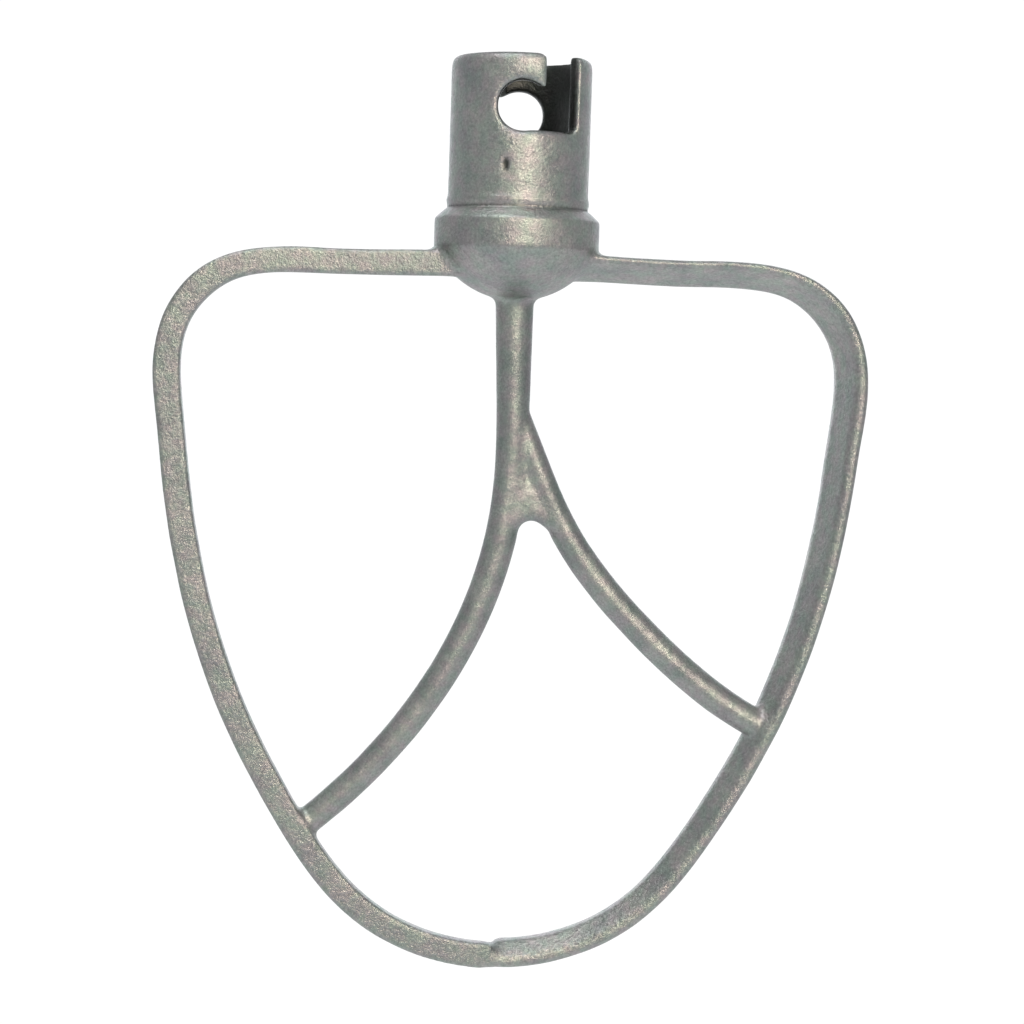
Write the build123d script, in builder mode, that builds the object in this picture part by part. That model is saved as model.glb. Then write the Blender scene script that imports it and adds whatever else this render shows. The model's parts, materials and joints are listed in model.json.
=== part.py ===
from build123d import *
import os
from math import cos, radians, sin, sqrt

os.makedirs("parts", exist_ok=True)

# Mortar mixing paddle, one rigid aluminium casting, in millimetres.
# Frame: Z is the axis of the drive socket and of the whole paddle, +Z up.
# The origin is on that axis in the plane of the socket's rim, so the paddle
# hangs below it. The front of the paddle faces -Y and its right side is +X.
# The left arm, blade and toe are the right ones turned half a turn about Z,
# so whichever side comes round leads with the same face.

# ---- driving sizes -------------------------------------------------------
OVERALL_WIDTH = 135.2        # across both blades where the paddle is widest
OVERALL_HEIGHT = 174.1       # socket rim to the lowest point of the toes

TUBE_DIAMETER = 26.6         # outside of the socket tube
BORE_DIAMETER = 20.4         # sliding fit for the mixer's drive shaft
TUBE_HEIGHT = 28.1           # rim to the crease above the collar
RIM_ROUND = 1.0              # rounded outer edge of the rim
COLLAR_STEP = 2.35           # how far the collar stands out from the tube
COLLAR_CHAMFER = 2.2         # drop of the shoulder between tube and collar
COLLAR_HEIGHT = 5.2          # straight side of the collar
DOME_RADIUS = 17.3           # ball curve of the hub's underside

PIN_DIAMETER = 7.0           # cross pin of the drive shaft
PIN_CLEARANCE = 0.3
ENTRY_AZIMUTH = 36.0         # degrees from the pocket round to the entry slot
POCKET_DIAMETER = 9.3        # round pocket where the pin rests and drives
POCKET_DEPTH = 9.7           # rim to the pocket's centre
CHANNEL_FLOOR = 14.1         # rim to the floor of the cross channel
CHANNEL_HEIGHT = 7.5         # clear height of the cross channel

ARM_DROP = 0.9               # collar's lower edge to the arm's upper face
ARM_DROOP = 0.5              # extra drop of the arm at its outer end
ARM_WIDTH = 4.8              # upper to lower face of the arm
SHOULDER_RADIUS = 22.0       # outside corner between arm and blade

BLADE_DEPTH_TOP = 12.0       # front to back at the arms
BLADE_DEPTH_FOOT = 6.0       # front to back at the lowest point
BLADE_WIDTH_TOP = 5.2        # outside to inside edge under the shoulder
BLADE_WIDTH_FOOT = 4.9       # outside to inside edge at the lowest point
INNER_EDGE = 2.9             # thickness that the bevel leaves at the inside edge
ARM_LAND = 1.1               # flat left outside the bevel along the arm
BLADE_LAND = 2.2             # flat left outside the bevel along the blade
EDGE_ROUND = 0.4             # cast edges of arms, blades and toes

STEM_TOP_DIAMETER = 7.4
STEM_FOOT_DIAMETER = 6.4
FORK_DEPTH = 64.9            # rim to the place where the stem becomes two ribs
LEFT_RIB_END_DIAMETER = 5.4
RIGHT_RIB_ROOT_DIAMETER = 5.0    # inside the left rib, where it parts from it
RIGHT_RIB_ROOT_DEPTH = 1.2   # how far under the fork that is
RIGHT_RIB_DIAMETER = 5.8
TOE_HEIGHT = 19.0            # how far the toes reach up, on the drawn loop
WEB_THICKNESS = 5.2          # web that fills the crotch between the ribs
CROTCH_ROUND = 2.5

# The free curves are drawn for a loop of this half width and this height
# under the arms, and stretched to the overall sizes.
DRAWN_HALF_WIDTH = 67.6
DRAWN_LOOP_HEIGHT = 137.7

# Sections about a dozen millimetres apart carry the cast surfaces.
ARM_SECTIONS = 4
SHOULDER_SECTIONS = 3
SIDE_SECTIONS = 14
RIB_SECTIONS = 8

# ---- sizes that follow ---------------------------------------------------
half_width = OVERALL_WIDTH / 2
tube_radius = TUBE_DIAMETER / 2
bore_radius = BORE_DIAMETER / 2
collar_radius = tube_radius + COLLAR_STEP
collar_top = -TUBE_HEIGHT
collar_foot = collar_top - COLLAR_CHAMFER - COLLAR_HEIGHT
dome_radius = max(DOME_RADIUS, collar_radius + 1)
dome_centre = collar_foot + sqrt(dome_radius**2 - collar_radius**2)
dome_bottom = dome_centre - dome_radius
slot_width = PIN_DIAMETER + PIN_CLEARANCE
arm_top = collar_foot - ARM_DROP
loop_height = OVERALL_HEIGHT + arm_top
stem_radius = STEM_TOP_DIAMETER / 2
fork_radius = STEM_FOOT_DIAMETER / 2


def loop_point(x, drop):
    """A point of a free curve: x from the axis, drop below the arm's top."""
    return Vector(
        x * half_width / DRAWN_HALF_WIDTH,
        0,
        arm_top - drop * loop_height / DRAWN_LOOP_HEIGHT,
    )


def flat(x, drop):
    """The same point as a pair, for a sketch on the paddle's middle plane."""
    point = loop_point(x, drop)
    return (point.X, point.Z)


def facing(azimuth):
    """An upright plane through the axis that faces so many degrees right of front."""
    angle = radians(azimuth)
    return Plane(
        (0, 0, 0),
        x_dir=(cos(angle), sin(angle), 0),
        z_dir=(sin(angle), -cos(angle), 0),
    )


def across(line, share):
    """A plane square to a curve at a share of its length.

    Its x points into the loop and its y points to the paddle's back.
    """
    along = line % share
    return Plane(line @ share, x_dir=Vector(along.Z, 0, -along.X), z_dir=along)


# ---- hub -----------------------------------------------------------------
with BuildPart() as hub_sleeve:
    with BuildSketch(Plane.XZ) as wall:
        with Locations(((tube_radius + bore_radius) / 2, collar_top / 2)):
            Rectangle(tube_radius - bore_radius, TUBE_HEIGHT)
        fillet(wall.vertices().group_by(Axis.Y)[-1].sort_by(Axis.X)[-1], RIM_ROUND)
    revolve(axis=Axis.Z)
    # Two bayonet slots, half a turn apart: in at the rim, down, round to the
    # pocket in the middle of the front or back.
    for turn in (0, 180):
        with BuildSketch(facing(turn + ENTRY_AZIMUTH)):
            with Locations((0, -CHANNEL_FLOOR / 2)):
                Rectangle(slot_width, CHANNEL_FLOOR)
        extrude(amount=TUBE_DIAMETER, mode=Mode.SUBTRACT)
        with BuildSketch(facing(turn)):
            with Locations((0, -POCKET_DEPTH)):
                Circle(POCKET_DIAMETER / 2)
        extrude(amount=TUBE_DIAMETER, mode=Mode.SUBTRACT)
        with BuildSketch(facing(turn - 90)):
            with Locations((bore_radius, CHANNEL_HEIGHT / 2 - CHANNEL_FLOOR)):
                Rectangle(bore_radius, CHANNEL_HEIGHT)
        revolve(axis=Axis.Z, revolution_arc=ENTRY_AZIMUTH, mode=Mode.SUBTRACT)
hub_sleeve.part.label = "hub_sleeve"
export_step(hub_sleeve.part, "parts/hub_sleeve.step")

with BuildPart() as hub_collar:
    with BuildSketch(Plane.XZ):
        Polygon(
            (bore_radius, collar_top),
            (tube_radius, collar_top),
            (collar_radius, collar_top - COLLAR_CHAMFER),
            (collar_radius, collar_foot),
            (bore_radius, collar_foot),
            align=None,
        )
    revolve(axis=Axis.Z)
hub_collar.part.label = "hub_collar"
export_step(hub_collar.part, "parts/hub_collar.step")

with BuildPart() as hub_dome:
    with Locations((0, 0, dome_centre)):
        Sphere(dome_radius)
    split(bisect_by=Plane.XY.offset(collar_foot), keep=Keep.BOTTOM)
hub_dome.part.label = "hub_dome"
export_step(hub_dome.part, "parts/hub_dome.step")


# ---- one half of the loop ------------------------------------------------
# Outside line: arm, round shoulder, side that leans in ever faster, bottom.
arm_end = Vector(half_width - SHOULDER_RADIUS, 0, arm_top - ARM_DROOP)
shoulder_end = Vector(half_width, 0, arm_end.Z - SHOULDER_RADIUS)

with BuildLine() as arm_line:
    Line((0, 0, arm_top), arm_end)
with BuildLine() as shoulder_line:
    Spline(
        arm_end,
        Vector(half_width, 0, shoulder_end.Z)
        + SHOULDER_RADIUS * Vector(sin(radians(45)) - 1, 0, cos(radians(45))),
        shoulder_end,
        tangents=[(1, 0, 0), (0, 0, -1)],
    )
with BuildLine() as side_line:
    Spline(
        shoulder_end,
        loop_point(65.6, 44.0),
        loop_point(61.9, 64.6),
        loop_point(54.4, 87.5),
        loop_point(42.2, 110.5),
        loop_point(28.5, 127.7),
        loop_point(14.6, 135.4),
        (0, 0, -OVERALL_HEIGHT),
        loop_point(-14.6, 135.4),
    )


def taper(top, foot, z):
    """A size that changes evenly from the arms down to the lowest point."""
    return top + (foot - top) * (arm_top - z) / loop_height


def wedge(plane, land, top_width):
    """The section of arm, blade or toe: flat land, bevel, thin inside edge."""
    depth = taper(BLADE_DEPTH_TOP, BLADE_DEPTH_FOOT, plane.origin.Z)
    width = taper(top_width, BLADE_WIDTH_FOOT, plane.origin.Z)
    with BuildSketch(plane) as section:
        Polygon(
            (0, -depth / 2),
            (land, -depth / 2),
            (width, depth / 2 - INNER_EDGE),
            (width, depth / 2),
            (0, depth / 2),
            align=None,
        )
        fillet(section.vertices(), EDGE_ROUND)
    return section.sketch


def shares(count):
    """Evenly spaced shares of a line's length, its start left out."""
    return [step / count for step in range(1, count + 1)]


sections = []
for share in [0] + shares(ARM_SECTIONS):
    sections.append(wedge(across(arm_line.wire(), share), ARM_LAND, ARM_WIDTH))
for share in shares(SHOULDER_SECTIONS):
    land = ARM_LAND + share * (BLADE_LAND - ARM_LAND)
    width = ARM_WIDTH + share * (BLADE_WIDTH_TOP - ARM_WIDTH)
    sections.append(wedge(across(shoulder_line.wire(), share), land, width))
for share in shares(SIDE_SECTIONS):
    sections.append(wedge(across(side_line.wire(), share), BLADE_LAND, BLADE_WIDTH_TOP))

with BuildPart() as half_loop:
    loft(sections)
    split(bisect_by=Plane.YZ)

# The half loop becomes three nodes: straight arm, blade with its shoulder,
# and the toe that closes the round bottom.
toe_height = TOE_HEIGHT * loop_height / DRAWN_LOOP_HEIGHT
arm_zone = Box(
    2 * arm_end.X,
    OVERALL_WIDTH,
    2 * SHOULDER_RADIUS,
    mode=Mode.PRIVATE,
).move(Location((0, 0, arm_top)))
toe_zone = Box(
    2 * OVERALL_WIDTH,
    OVERALL_WIDTH,
    2 * toe_height,
    mode=Mode.PRIVATE,
).move(Location((0, 0, -OVERALL_HEIGHT)))

with BuildPart() as right_arm:
    add(half_loop.part)
    add(arm_zone, mode=Mode.INTERSECT)
    add(hub_dome.part, mode=Mode.SUBTRACT)
    add(hub_collar.part, mode=Mode.SUBTRACT)

with BuildPart() as right_blade:
    add(half_loop.part)
    add(arm_zone, mode=Mode.SUBTRACT)
    add(toe_zone, mode=Mode.SUBTRACT)

with BuildPart() as right_toe:
    add(half_loop.part)
    add(toe_zone, mode=Mode.INTERSECT)

left_blade = right_blade.part.rotate(Axis.Z, 180)
for name, right in (("arm", right_arm), ("blade", right_blade), ("toe", right_toe)):
    with BuildPart() as left:
        add(right.part.rotate(Axis.Z, 180))
    right.part.label = "right_" + name
    export_step(right.part, "parts/right_" + name + ".step")
    left.part.label = "left_" + name
    export_step(left.part, "parts/left_" + name + ".step")

# ---- stem and ribs -------------------------------------------------------
fork_drop = FORK_DEPTH + arm_top
fork = loop_point(0.4, fork_drop)

with BuildPart() as stem:
    with BuildSketch(Plane.XY.offset(dome_bottom + stem_radius / 2)):
        Circle(stem_radius)
    with BuildSketch(Plane.XY.offset(fork.Z)):
        with Locations((fork.X, 0)):
            Circle(fork_radius)
    loft()
    add(hub_dome.part, mode=Mode.SUBTRACT)
stem.part.label = "stem"
export_step(stem.part, "parts/stem.step")


def round_bar(line, start_radius, end_radius, ease):
    """A round bar along a curve.

    An ease of 1 tapers it evenly, and a higher one brings it to its end size sooner.
    """
    with BuildPart() as bar:
        rounds = []
        for share in [0] + shares(RIB_SECTIONS):
            with BuildSketch(across(line, share)) as section:
                Circle(end_radius + (start_radius - end_radius) * (1 - share) ** ease)
            rounds.append(section.sketch)
        loft(rounds)
    return bar.part


# The left rib carries on down from the stem. The right rib starts inside it
# just under the fork and is cut back to its surface. Both end inside a blade.
with BuildLine() as left_rib_line:
    Spline(
        fork,
        loop_point(0.5, 38.5),
        loop_point(-0.8, 52.4),
        loop_point(-7.0, 72.3),
        loop_point(-20.8, 94.4),
        loop_point(-38.0, 111.4),
    )
with BuildLine() as right_rib_line:
    Spline(
        loop_point(0.8, fork_drop + RIGHT_RIB_ROOT_DEPTH),
        loop_point(2.5, 33.9),
        loop_point(6.1, 42.6),
        loop_point(11.8, 53.9),
        loop_point(26.1, 71.1),
        loop_point(50.3, 89.3),
        tangents=[(1, 0, -3), (2, 0, -1)],
    )
left_bar = round_bar(left_rib_line.wire(), fork_radius, LEFT_RIB_END_DIAMETER / 2, ease=1)
right_bar = round_bar(
    right_rib_line.wire(),
    RIGHT_RIB_ROOT_DIAMETER / 2,
    RIGHT_RIB_DIAMETER / 2,
    ease=4,
)

with BuildPart() as left_rib:
    add(left_bar)
    add(left_blade, mode=Mode.SUBTRACT)
    add(stem.part, mode=Mode.SUBTRACT)
left_rib.part.label = "left_rib"
export_step(left_rib.part, "parts/left_rib.step")

with BuildPart() as right_rib:
    add(right_bar)
    add(left_bar, mode=Mode.SUBTRACT)
    add(right_blade.part, mode=Mode.SUBTRACT)
right_rib.part.label = "right_rib"
export_step(right_rib.part, "parts/right_rib.step")

# A web with a hollow lower edge fills the crotch.
with BuildPart() as crotch_web:
    with BuildSketch(Plane.XZ):
        Polygon(flat(1.5, 40.5), flat(0.0, 51.9), flat(9.0, 51.9), align=None)
        with Locations(flat(4.65, 53.1)):
            Circle(CROTCH_ROUND, mode=Mode.SUBTRACT)
    extrude(amount=WEB_THICKNESS / 2, both=True)
    add(left_bar, mode=Mode.SUBTRACT)
    add(right_bar, mode=Mode.SUBTRACT)
crotch_web.part.label = "crotch_web"
export_step(crotch_web.part, "parts/crotch_web.step")
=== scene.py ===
import json
import math
import bmesh
import bpy
import numpy as np
from mathutils import Matrix, Vector, noise
from mathutils.bvhtree import BVHTree


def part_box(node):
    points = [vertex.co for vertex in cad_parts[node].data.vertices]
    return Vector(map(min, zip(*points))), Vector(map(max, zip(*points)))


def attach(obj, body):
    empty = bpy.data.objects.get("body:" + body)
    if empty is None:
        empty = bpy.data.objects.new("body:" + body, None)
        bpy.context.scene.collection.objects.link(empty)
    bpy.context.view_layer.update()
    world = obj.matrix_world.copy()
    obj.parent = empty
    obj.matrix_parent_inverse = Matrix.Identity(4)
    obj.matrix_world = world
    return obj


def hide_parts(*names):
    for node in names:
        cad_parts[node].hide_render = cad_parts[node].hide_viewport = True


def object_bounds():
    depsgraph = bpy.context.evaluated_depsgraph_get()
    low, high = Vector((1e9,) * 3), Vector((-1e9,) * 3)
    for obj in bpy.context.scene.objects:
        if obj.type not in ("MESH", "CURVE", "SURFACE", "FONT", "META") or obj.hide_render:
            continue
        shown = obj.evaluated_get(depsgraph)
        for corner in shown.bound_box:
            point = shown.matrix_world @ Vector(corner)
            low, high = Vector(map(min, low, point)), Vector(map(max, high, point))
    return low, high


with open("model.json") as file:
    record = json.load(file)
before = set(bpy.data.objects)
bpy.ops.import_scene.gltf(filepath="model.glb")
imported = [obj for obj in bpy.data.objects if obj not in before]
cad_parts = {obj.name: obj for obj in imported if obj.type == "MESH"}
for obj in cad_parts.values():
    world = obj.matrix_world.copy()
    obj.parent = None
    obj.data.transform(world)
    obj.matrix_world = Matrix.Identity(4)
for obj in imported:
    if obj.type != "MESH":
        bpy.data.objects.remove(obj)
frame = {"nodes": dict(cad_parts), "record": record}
cad_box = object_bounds()

MM = 0.001                      # the frame is in metres, sizes below in millimetres

# ---- what the paddle is made of: one aluminium sand casting ---------------
# The CAD holds it as thirteen regions that meet face to face. Here they run
# together into one skin with cast fillets, and the skin is then cut back into
# one piece for each region, so every piece keeps its own name and finish.
HUB = ("hub_sleeve", "hub_collar", "hub_dome")
RIBS = ("stem", "left_rib", "right_rib", "crotch_web")
LOOP = ("left_arm", "right_arm", "left_blade", "right_blade", "left_toe", "right_toe")
SLOT_OF = {name: "cast_hub" for name in HUB}
SLOT_OF.update({name: "cast_rib" for name in RIBS})
SLOT_OF.update({name: "cast_blade" for name in LOOP})

SKIN_GRID = 0.36 * MM           # spacing of the skin's points
EDGE_PASSES = 6                 # light rubbing that rounds every cast edge
COLLAR_RUB = 0.4                # the collar's edges stay crisper than the rest
SLOT_PASSES = 24                # the tube's outer edges, at the slot and the rim, are worn rounder
FILLET_PASSES = 70              # filling that grows the fillets in the corners
FILLET_REACH = 3.2 * MM         # how far from a joint of two regions it works
FILLET_CORE = 0.3               # share of its reach that fills in full
STEM_FILLET = 0.3               # share of that reach where the stem meets the dome
WELD_DISTANCE = 0.001 * MM      # points of two CAD faces this close are one point
RUB_PULL = 0.5                  # how far one pass moves a point to its neighbours' middle

# The socket's own marks: a soft ring and a sharp crease where the tube ends on
# the collar, and one small casting pit low on the tube's front.
CREASE_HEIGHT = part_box("hub_collar")[1][2]
COLLAR_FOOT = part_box("hub_collar")[0][2]
TUBE_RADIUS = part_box("hub_sleeve")[1][0]
BORE_RADIUS = frame["record"]["mounts"][0]["dims"]["r_mm"] * MM
CREASE_DEPTH = 0.18 * MM
CREASE_WIDTH = 0.40 * MM
RING_RISE = 0.22 * MM
RING_ABOVE = 1.3 * MM
RING_WIDTH = 0.7 * MM
PIT_AZIMUTH = math.radians(-12.5)
PIT_DROP = 20.6 * MM
PIT_DEPTH = 0.30 * MM
PIT_SIZE = (0.60 * MM, 1.15 * MM)
OUTSIDE_DEPTH = (1.2 * MM, 0.6 * MM)  # the marks fade out this far in from the tube's outside

# The blades' rounded land, and the softened corners.
BEAD_PASSES = 36                # the land outside the bevel is rubbed to a flat bead
BEAD_DEPTH = (0.8 * MM, 1.9 * MM)
FOOT_DEPTH = 6.0 * MM           # the toes' depth front to back at the lowest point
WEB_PASSES = 34                 # the crotch is filled until web and ribs run together
WEB_REACH = 2.6 * MM
WEB_CORE = 0.2                  # share of its reach that softens in full

# Uneven walls, as a sand mould leaves them.
WAVE_SIZE = 7.0 * MM
WAVE_RISE = 0.06 * MM


def smooth_step(value, low, high):
    """0 below low, 1 above high, and an even S between."""
    t = np.clip((value - low) / (high - low), 0, 1)
    return t * t * (3 - 2 * t)


def poured_skin(names):
    """One closed skin round all the CAD regions, on an even grid."""
    joined = bmesh.new()
    for name in names:
        joined.from_mesh(frame["nodes"][name].data)
    bmesh.ops.remove_doubles(joined, verts=joined.verts, dist=WELD_DISTANCE)
    mesh = bpy.data.meshes.new("poured")
    joined.to_mesh(mesh)
    joined.free()
    pour = bpy.data.objects.new("poured", mesh)
    bpy.context.scene.collection.objects.link(pour)
    remesh = pour.modifiers.new("grid", "REMESH")
    remesh.mode = "VOXEL"
    remesh.voxel_size = SKIN_GRID
    remesh.use_smooth_shade = True
    graph = bpy.context.evaluated_depsgraph_get()
    skin = bpy.data.meshes.new_from_object(pour.evaluated_get(graph))
    bpy.data.objects.remove(pour)
    bpy.data.meshes.remove(mesh)
    return skin


def points_of(mesh):
    flat = np.empty(len(mesh.vertices) * 3, np.float32)
    mesh.vertices.foreach_get("co", flat)
    return flat.reshape(-1, 3).astype(float)


def edges_of(mesh):
    flat = np.empty(len(mesh.edges) * 2, np.int32)
    mesh.edges.foreach_get("vertices", flat)
    return flat.reshape(-1, 2)


def rubbed(points, edges, weight, passes):
    """Points moved towards the middle of their neighbours, pass after pass."""
    count = len(points)
    here = np.concatenate([edges[:, 0], edges[:, 1]])
    there = np.concatenate([edges[:, 1], edges[:, 0]])
    neighbours = np.bincount(here, minlength=count)[:, None]
    pull = (RUB_PULL * weight)[:, None]
    for _ in range(passes):
        sums = [
            np.bincount(here, weights=points[there, axis], minlength=count)
            for axis in range(3)
        ]
        middle = np.stack(sums, axis=1)
        points = points + pull * (middle / neighbours - points)
    return points


def normals_of(mesh, points):
    """The mesh's point normals once its points are moved to the given places."""
    mesh.vertices.foreach_set("co", points.astype(np.float32).ravel())
    mesh.update()
    flat = np.empty(len(mesh.vertices) * 3, np.float32)
    mesh.vertices.foreach_get("normal", flat)
    return flat.reshape(-1, 3).astype(float)


def from_axis(points):
    """Each point's distance to the socket's axis."""
    return np.hypot(points[:, 0], points[:, 1])


def distances(points, names, reach):
    """Each point's distance to each CAD region, or reach where it is further."""
    table = np.full((len(points), len(names)), reach)
    for column, name in enumerate(names):
        low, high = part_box(name)
        above_low = points > np.array(low) - reach
        below_high = points < np.array(high) + reach
        near = np.all(above_low & below_high, axis=1)
        solid = bmesh.new()
        solid.from_mesh(frame["nodes"][name].data)
        tree = BVHTree.FromBMesh(solid)
        solid.free()
        for index in np.flatnonzero(near):
            distance = tree.find_nearest(points[index], reach)[3]
            if distance is not None:
                table[index, column] = distance
    return table


NAMES = HUB + RIBS + LOOP
skin = poured_skin(NAMES)
edges = edges_of(skin)
points = points_of(skin)
table = distances(points, NAMES, FILLET_REACH)
region = table.argmin(axis=1)

# Corners between the hub, the ribs and the loop fill with metal: a point may
# only rise there, so the bars and blades keep their own thickness.
family = np.array([0] * len(HUB) + [1] * len(RIBS) + [2] * len(LOOP))
own = family[region]
joint_distance = np.full(len(points), FILLET_REACH)
for other in range(3):
    columns = np.flatnonzero(family == other)
    to_other = table[:, columns].min(axis=1)
    joint_distance = np.where(own == other, joint_distance, np.minimum(joint_distance, to_other))
web_near = table[:, [NAMES.index("left_rib"), NAMES.index("right_rib")]].max(axis=1)
joint_distance = np.minimum(joint_distance, web_near)
hub_columns = [NAMES.index(name) for name in HUB]
to_stem = table[:, NAMES.index("stem")]
to_hub = table[:, hub_columns].min(axis=1)
stem_root = (to_stem < FILLET_REACH) & (to_hub < FILLET_REACH)
reach = np.where(stem_root, STEM_FILLET * FILLET_REACH, FILLET_REACH)
fill = 1 - smooth_step(joint_distance, FILLET_CORE * reach, reach)
filled = rubbed(points, edges, fill, FILLET_PASSES)
normals = normals_of(skin, points)
rise = np.einsum("ij,ij->i", filled - points, normals)
points = points + normals * np.maximum(rise, 0)[:, None]
on_collar = region == NAMES.index("hub_collar")
points = rubbed(points, edges, np.where(on_collar, COLLAR_RUB, 1.0), EDGE_PASSES)

# The web between the ribs and the place where the toes meet are softened most.
to_web = table[:, NAMES.index("crotch_web")]
to_seam = table[:, [NAMES.index("left_toe"), NAMES.index("right_toe")]].max(axis=1)
soft = 1 - smooth_step(np.minimum(to_web, to_seam), WEB_CORE * WEB_REACH, WEB_REACH)
points = rubbed(points, edges, soft, WEB_PASSES)

# The bevel looks to the front on the right half and to the back on the left.
arm_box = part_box("right_arm")
down_share = (arm_box[1][2] - points[:, 2]) / (arm_box[1][2] - cad_box[0][2])
half_depth = arm_box[1][1] + (FOOT_DEPTH / 2 - arm_box[1][1]) * down_share
behind_face = half_depth + points[:, 1] * np.sign(points[:, 0])
bead = (own == 2) * (1 - smooth_step(behind_face, *BEAD_DEPTH))
points = rubbed(points, edges, bead, BEAD_PASSES)

on_sleeve = (region == NAMES.index("hub_sleeve")).astype(float)
worn = on_sleeve * smooth_step(from_axis(points), BORE_RADIUS, TUBE_RADIUS)
points = rubbed(points, edges, worn, SLOT_PASSES)


def bell(distance, width):
    """A bump of height 1 that fades over about the given width."""
    return np.exp(-((distance / width) ** 2))


# The ring, the crease and the pit are pushed in or out along the skin.
normals = normals_of(skin, points)
radius = from_axis(points)
outside = smooth_step(radius, TUBE_RADIUS - OUTSIDE_DEPTH[0], TUBE_RADIUS - OUTSIDE_DEPTH[1])
height = points[:, 2]
ring = RING_RISE * bell(height - CREASE_HEIGHT - RING_ABOVE, RING_WIDTH)
crease = CREASE_DEPTH * bell(height - CREASE_HEIGHT, CREASE_WIDTH)
pit_place = np.array((
    TUBE_RADIUS * math.sin(PIT_AZIMUTH),
    -TUBE_RADIUS * math.cos(PIT_AZIMUTH),
    -PIT_DROP,
))
pit_side = np.hypot(points[:, 0] - pit_place[0], points[:, 1] - pit_place[1])
pit = PIT_DEPTH * bell(pit_side, PIT_SIZE[0]) * bell(height - pit_place[2], PIT_SIZE[1])
waves = np.array([noise.noise(Vector(point) / WAVE_SIZE) for point in points])
off_bore = smooth_step(radius, BORE_RADIUS, TUBE_RADIUS)
push = outside * (ring - crease - pit) + WAVE_RISE * waves * off_bore
points = points + normals * push[:, None]
normals = normals_of(skin, points)


def linear(hex_colour):
    """A sRGB hex colour as the linear values that shaders take."""
    parts = [int(hex_colour[i:i + 2], 16) / 255 for i in (1, 3, 5)]
    curve = [c / 12.92 if c <= 0.04045 else ((c + 0.055) / 1.055) ** 2.4 for c in parts]
    return (*curve, 1.0)


def add(tree, kind, settings=None, links=None):
    """One node with its settings (sockets or properties) and its incoming links."""
    node = tree.nodes.new(kind)
    for key, value in (settings or {}).items():
        if isinstance(key, int) or key in node.inputs.keys():
            node.inputs[key].default_value = value
        else:
            setattr(node, key, value)
    for key, source in (links or {}).items():
        tree.links.new(source, node.inputs[key])
    return node


CLOUD_SIZE = 6.0 * MM           # warm and cool clouds
CLOUD_SPAN = (0.32, 0.68)       # the noise values where the deep and the pale tone start
STAIN_SIZE = 2.6 * MM
STAIN_SPAN = (0.35, 0.65)
GREEN_STAIN = "#EFFBF6"
LILAC_STAIN = "#FDF6FC"
POLISH_SIZE = 1.4 * MM
DIMPLE_SIZE = 2.2 * MM
DIMPLE_RISE = 0.16 * MM
NOISE_SPAN = (0.3, 0.7)         # the values that nearly all of a noise lies between
SPECK_DEPTH = 0.24              # how much lighter or darker one grain is
SATIN_SPREAD = 0.08
# Painted shade in the bore: how dark the colour is drawn inside the socket.
BORE_SHADE = 0.9
BORE_FADE = (1.5 * MM, 0.5 * MM)  # the bore's painted shade fades out this far in from the outside
SOCKET_FADE = 1.0 * MM          # and this far under the collar's foot
# Painted shade along the crease where the tube meets the collar.
CREASE_SHADE = 0.9
CREASE_SHADE_WIDTH = 0.50 * MM
# Painted shade round the collar's foot, where it meets the dome.
FOOT_SHADE = 0.2
FOOT_SHADE_WIDTH = 0.5 * MM
# Painted shade in the casting pit.
PIT_SHADE = 0.9
PIT_FADE = (0.7, 1.4)           # shares of the pit's size
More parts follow.
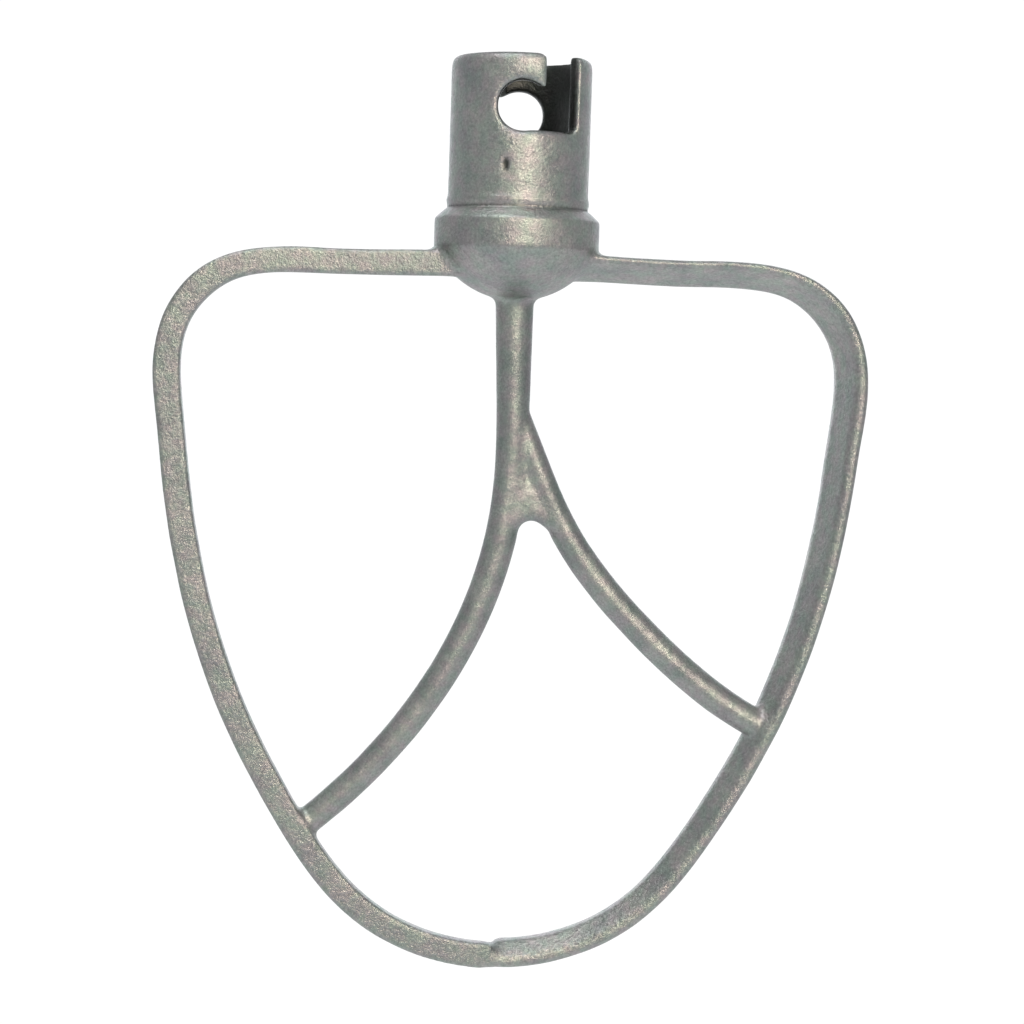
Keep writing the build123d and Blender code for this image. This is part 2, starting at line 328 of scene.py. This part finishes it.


# Sand-cast aluminium alloy, knocked out of its mould, tumbled and left bare.
# The eye reads it as a satin grey metal with a fine sandy grain that sparkles
# where the light falls square and soft warm and cool clouds from the mould's skin;
# shade is painted into the colour in the bore, the crease, the collar's foot and the pit.
def cast_aluminium(name, pale, deep, shade_colour, grain, grain_rise, satin):
    material = bpy.data.materials.new(name)
    material.use_nodes = True
    tree = material.node_tree
    shader = tree.nodes["Principled BSDF"]
    shader.inputs["Metallic"].default_value = 1.0
    place = add(tree, "ShaderNodeTexCoord").outputs["Object"]

    clouds = add(
        tree, "ShaderNodeTexNoise",
        {"Scale": 1 / CLOUD_SIZE, "Detail": 4.0, "Roughness": 0.62},
        {"Vector": place},
    )
    tone = add(tree, "ShaderNodeValToRGB", links={"Fac": clouds.outputs["Fac"]})
    for stop, position, tint in zip(tone.color_ramp.elements, CLOUD_SPAN, (deep, pale)):
        stop.position = position
        stop.color = linear(tint)

    sand = add(
        tree, "ShaderNodeTexNoise",
        {"Scale": 1 / grain, "Detail": 3.0, "Roughness": 0.7},
        {"Vector": place},
    )
    speck = add(
        tree, "ShaderNodeMapRange",
        {"From Min": NOISE_SPAN[0], "From Max": NOISE_SPAN[1],
         "To Min": 1 - SPECK_DEPTH, "To Max": 1 + SPECK_DEPTH},
        {"Value": sand.outputs["Fac"]},
    )
    grained = add(
        tree, "ShaderNodeVectorMath", {"operation": "SCALE"},
        {"Vector": tone.outputs["Color"], "Scale": speck.outputs["Result"]},
    )

    # Mould stain: a faint wandering of hue between green grey and lilac grey.
    stain = add(
        tree, "ShaderNodeTexNoise",
        {"Scale": 1 / STAIN_SIZE, "Detail": 2.0, "Roughness": 0.5},
        {"Vector": place},
    )
    hue = add(tree, "ShaderNodeValToRGB", links={"Fac": stain.outputs["Fac"]})
    tints = (GREEN_STAIN, LILAC_STAIN)
    for stop, position, tint in zip(hue.color_ramp.elements, STAIN_SPAN, tints):
        stop.position = position
        stop.color = linear(tint)
    stained = add(
        tree, "ShaderNodeVectorMath", {"operation": "MULTIPLY"},
        {0: grained.outputs["Vector"], 1: hue.outputs["Color"]},
    )

    # Painted shade: the colour darkens in the bore, in the crease over the collar,
    # round the collar's foot and in the pit.
    split = add(tree, "ShaderNodeSeparateXYZ", links={"Vector": place})
    flat_place = add(
        tree, "ShaderNodeCombineXYZ", links={"X": split.outputs["X"], "Y": split.outputs["Y"]}
    )
    off_axis = add(
        tree, "ShaderNodeVectorMath", {"operation": "LENGTH"}, {"Vector": flat_place.outputs[0]}
    )
    # Painted shade inside the bore and the slots' flanks, fading out towards the tube's outside
    # and under the collar's foot.
    bore = add(
        tree, "ShaderNodeMapRange",
        {"From Min": TUBE_RADIUS - BORE_FADE[0], "From Max": TUBE_RADIUS - BORE_FADE[1],
         "To Min": 1.0, "To Max": 0.0},
        {"Value": off_axis.outputs["Value"]},
    )
    in_socket = add(
        tree, "ShaderNodeMapRange",
        {"From Min": COLLAR_FOOT - SOCKET_FADE, "From Max": COLLAR_FOOT,
         "To Min": 0.0, "To Max": BORE_SHADE},
        {"Value": split.outputs["Z"]},
    )
    shade_mask = add(
        tree, "ShaderNodeMath", {"operation": "MULTIPLY"},
        {0: bore.outputs["Result"], 1: in_socket.outputs["Result"]},
    )
    # Painted shade in patchy bands along the crease over the collar and round the collar's foot.
    for where, width, depth in (
        (CREASE_HEIGHT, CREASE_SHADE_WIDTH, CREASE_SHADE),
        (COLLAR_FOOT, FOOT_SHADE_WIDTH, FOOT_SHADE),
    ):
        line = add(
            tree, "ShaderNodeMath", {"operation": "SUBTRACT", 1: where}, {0: split.outputs["Z"]}
        )
        away = add(tree, "ShaderNodeMath", {"operation": "ABSOLUTE"}, {0: line.outputs[0]})
        band = add(
            tree, "ShaderNodeMapRange",
            {"From Min": 0.0, "From Max": width, "To Min": depth, "To Max": 0.0},
            {"Value": away.outputs[0]},
        )
        patchy = add(
            tree, "ShaderNodeMath", {"operation": "MULTIPLY"},
            {0: band.outputs["Result"], 1: clouds.outputs["Fac"]},
        )
        shade_mask = add(
            tree, "ShaderNodeMath", {"operation": "MAXIMUM"},
            {0: shade_mask.outputs[0], 1: patchy.outputs[0]},
        )
    # Painted shade in the pit.
    pit_offset = add(
        tree, "ShaderNodeVectorMath", {"operation": "SUBTRACT", 1: tuple(pit_place)}, {0: place}
    )
    pit_stretch = (1 / PIT_SIZE[0], 1 / PIT_SIZE[0], 1 / PIT_SIZE[1])
    pit_shape = add(
        tree, "ShaderNodeVectorMath", {"operation": "MULTIPLY", 1: pit_stretch},
        {0: pit_offset.outputs[0]},
    )
    pit_away = add(
        tree, "ShaderNodeVectorMath", {"operation": "LENGTH"}, {0: pit_shape.outputs[0]}
    )
    pit_dark = add(
        tree, "ShaderNodeMapRange",
        {"From Min": PIT_FADE[0], "From Max": PIT_FADE[1], "To Min": PIT_SHADE, "To Max": 0.0},
        {"Value": pit_away.outputs["Value"]},
    )
    shade_mask = add(
        tree, "ShaderNodeMath", {"operation": "MAXIMUM"},
        {0: shade_mask.outputs[0], 1: pit_dark.outputs["Result"]},
    )
    # The base colour is drawn towards the dark tone wherever shade is painted.
    colour = add(
        tree, "ShaderNodeMix", {"data_type": "RGBA", 7: linear(shade_colour)},
        {0: shade_mask.outputs[0], 6: stained.outputs["Vector"]},
    )
    tree.links.new(colour.outputs[2], shader.inputs["Base Color"])

    # Satin where the mould was smooth, duller in the pores between grains.
    polish = add(
        tree, "ShaderNodeTexNoise",
        {"Scale": 1 / POLISH_SIZE, "Detail": 3.0, "Roughness": 0.6},
        {"Vector": place},
    )
    gloss = add(
        tree, "ShaderNodeMapRange",
        {"From Min": NOISE_SPAN[0], "From Max": NOISE_SPAN[1],
         "To Min": satin - SATIN_SPREAD, "To Max": satin + SATIN_SPREAD},
        {"Value": polish.outputs["Fac"]},
    )
    tree.links.new(gloss.outputs["Result"], shader.inputs["Roughness"])

    # Relief: broad dimples of the mould's skin under the sand grain.
    dimples = add(
        tree, "ShaderNodeTexNoise",
        {"Scale": 1 / DIMPLE_SIZE, "Detail": 2.0, "Roughness": 0.5},
        {"Vector": place},
    )
    broad = add(
        tree, "ShaderNodeBump", {"Distance": DIMPLE_RISE},
        {"Height": dimples.outputs["Fac"]},
    )
    fine = add(
        tree, "ShaderNodeBump", {"Distance": grain_rise},
        {"Height": sand.outputs["Fac"], "Normal": broad.outputs["Normal"]},
    )
    tree.links.new(fine.outputs["Normal"], shader.inputs["Normal"])
    return material


# The dark tone that paints shade into the bore, the crease, the collar's foot and the pit.
SHADE_COLOUR = "#3B3D3A"

# Moulding sand is about 0.2 mm. It is drawn two to three times as coarse, or it
# wouldn't show.
finishes = {
    "cast_hub": cast_aluminium(
        "cast_hub", "#B9B7B2", "#A2A4A2", SHADE_COLOUR,
        grain=0.46 * MM, grain_rise=0.12 * MM, satin=0.40,
    ),
    "cast_rib": cast_aluminium(
        "cast_rib", "#B4B3AF", "#9C9E9C", SHADE_COLOUR,
        grain=0.40 * MM, grain_rise=0.07 * MM, satin=0.44,
    ),
    "cast_blade": cast_aluminium(
        "cast_blade", "#BAB8B2", "#A3A5A2", SHADE_COLOUR,
        grain=0.60 * MM, grain_rise=0.22 * MM, satin=0.37,
    ),
}


def cut_into_regions(mesh, vertex_region, vertex_normals):
    """Cuts the skin into one piece a region, with the whole skin's shading."""
    corner = np.empty(len(mesh.loops), np.int32)
    mesh.loops.foreach_get("vertex_index", corner)
    corner = corner.reshape(-1, 4)
    face_region = vertex_region[corner[:, 0]]
    points = points_of(mesh)
    for index, name in enumerate(NAMES):
        faces = corner[face_region == index]
        used, faces = np.unique(faces, return_inverse=True)
        faces = faces.reshape(-1, 4)
        piece_mesh = bpy.data.meshes.new(name + "_cast")
        piece_mesh.from_pydata(points[used].tolist(), [], faces.tolist())
        piece_mesh.shade_smooth()
        piece_mesh.normals_split_custom_set_from_vertices(vertex_normals[used].tolist())
        piece = bpy.data.objects.new(name + "_cast", piece_mesh)
        bpy.context.scene.collection.objects.link(piece)
        piece_mesh.materials.append(finishes[SLOT_OF[name]])
        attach(piece, "root")
        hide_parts(name)


cut_into_regions(skin, region, normals)

# ---- studio ---------------------------------------------------------------
# The camera stands close, a little left of the middle and just above it, and
# is held with a slight roll, so the paddle's head leans to the right.
CAMERA_DISTANCE = 449.6 * MM
CAMERA_RISE = math.radians(4.6)
CAMERA_YAW = math.radians(2.0)
CAMERA_ROLL = math.radians(1.95)
CAMERA_LENS = 82.6              # focal length and film width in millimetres
FILM_WIDTH = 36
AIM = Vector((0.9, 0, -85.66)) * MM

forward = Vector((
    math.sin(CAMERA_YAW) * math.cos(CAMERA_RISE),
    math.cos(CAMERA_YAW) * math.cos(CAMERA_RISE),
    -math.sin(CAMERA_RISE),
))
level = Vector((math.cos(CAMERA_YAW), -math.sin(CAMERA_YAW), 0))
upward = level.cross(forward)
right = math.cos(CAMERA_ROLL) * level + math.sin(CAMERA_ROLL) * upward
up = math.cos(CAMERA_ROLL) * upward - math.sin(CAMERA_ROLL) * level
camera_data = bpy.data.cameras.new("camera")
camera_data.lens = CAMERA_LENS
camera_data.sensor_width = FILM_WIDTH
camera = bpy.data.objects.new("camera", camera_data)
bpy.context.scene.collection.objects.link(camera)
turn = Matrix((right, up, -forward)).transposed().to_4x4()
camera.matrix_world = Matrix.Translation(AIM - forward * CAMERA_DISTANCE) @ turn
bpy.context.scene.camera = camera


def softbox(name, azimuth, height, distance, size, power, colour):
    """A cloth-fronted lamp that looks at the middle of the paddle.

    Azimuth runs to the right from straight in front in degrees, height up from the
    middle. Height, distance from the socket's axis and size are in metres.
    """
    turn = math.radians(azimuth)
    lamp = bpy.data.lights.new(name, "AREA")
    lamp.shape = "RECTANGLE"
    lamp.size, lamp.size_y = size
    lamp.energy = power
    lamp.color = linear(colour)[:3]
    box = bpy.data.objects.new(name, lamp)
    bpy.context.scene.collection.objects.link(box)
    middle = Vector((0, 0, AIM.z))
    offset = Vector((math.sin(turn) * distance, -math.cos(turn) * distance, height))
    box.location = middle + offset
    box.rotation_euler = (middle - box.location).to_track_quat("-Z", "Y").to_euler()
    box.visible_camera = False


# The narrow warm lamp draws the highlight down the tube, the one overhead lights
# whatever faces up, and the broad one behind keeps the back from going dark.
softbox(
    "key_lamp", azimuth=13, height=0.33, distance=0.92,
    size=(0.16, 0.36), power=3.5, colour="#FFF0DC",
)
softbox(
    "top_lamp", azimuth=-30, height=0.95, distance=0.40,
    size=(0.6, 0.6), power=3.2, colour="#FFFFFF",
)
softbox(
    "back_lamp", azimuth=178, height=0.25, distance=1.0,
    size=(1.1, 0.7), power=2.5, colour="#F4F8FF",
)

# The room's own light: grey walls, darkest to both sides and palest behind, over
# a pale table that shines up into whatever faces down. A wall's place runs from 0
# in front of the paddle to 1 behind it.
WALL_TINTS = ((0.25, "#B6B8B8"), (0.48, "#A0A3A5"), (0.62, "#B6B9BC"))
FRONT_WALL = "#AFB0B0"
BACK_WALL = "#CDD0D3"
TABLE = "#E6E9EC"
TABLE_EDGE = (-0.75, -0.05)     # how far down a look goes where the table gives way to wall

world = bpy.data.worlds.new("studio_air")
bpy.context.scene.world = world
world.use_nodes = True
air = world.node_tree
sight = add(air, "ShaderNodeTexCoord").outputs["Generated"]
across_room = add(air, "ShaderNodeSeparateXYZ", links={"Vector": sight})
depth = add(
    air, "ShaderNodeMapRange", {"From Min": -1.0, "From Max": 1.0},
    {"Value": across_room.outputs["Y"]},
)
walls = add(air, "ShaderNodeValToRGB", links={"Fac": depth.outputs["Result"]})
for stop, position, tint in zip(walls.color_ramp.elements, (0, 1), (FRONT_WALL, BACK_WALL)):
    stop.position = position
    stop.color = linear(tint)
for position, tint in WALL_TINTS:
    walls.color_ramp.elements.new(position).color = linear(tint)
down = add(
    air, "ShaderNodeMapRange",
    {"From Min": TABLE_EDGE[0], "From Max": TABLE_EDGE[1], "To Min": 1.0, "To Max": 0.0},
    {"Value": across_room.outputs["Z"]},
)
room = add(
    air, "ShaderNodeMix", {"data_type": "RGBA", 7: linear(TABLE)},
    {0: down.outputs["Result"], 6: walls.outputs["Color"]},
)
air.links.new(room.outputs[2], air.nodes["Background"].inputs["Color"])
air.nodes["Background"].inputs["Strength"].default_value = 1.0


PAPER_GLOW = 1.05               # a shade over white, so that it comes out plain white
WALL_RADIUS = 3.0               # in metres, as is the floor's
FLOOR_GAP = 1.0 * MM


def pale_paper(name, shape):
    """A pale stage surface that the camera sees and the metal doesn't mirror."""
    mesh = bpy.data.meshes.new(name)
    shape.to_mesh(mesh)
    shape.free()
    sheet = bpy.data.objects.new(name, mesh)
    bpy.context.scene.collection.objects.link(sheet)
    paper = bpy.data.materials.new(name)
    paper.use_nodes = True
    tree = paper.node_tree
    tree.nodes.clear()
    glow = add(tree, "ShaderNodeEmission", {"Color": (1, 1, 1, 1), "Strength": PAPER_GLOW})
    add(tree, "ShaderNodeOutputMaterial", links={"Surface": glow.outputs[0]})
    mesh.materials.append(paper)
    sheet.visible_glossy = False
    sheet.visible_diffuse = False
    sheet.visible_shadow = False


wall = bmesh.new()
bmesh.ops.create_uvsphere(wall, u_segments=48, v_segments=24, radius=WALL_RADIUS)
pale_paper("studio_wall", wall)
floor = bmesh.new()
bmesh.ops.create_circle(floor, cap_ends=True, segments=96, radius=WALL_RADIUS)
bmesh.ops.translate(floor, verts=floor.verts, vec=(0, 0, cad_box[0][2] - FLOOR_GAP))
pale_paper("pale_floor", floor)

bpy.context.scene.view_settings.view_transform = "Standard"
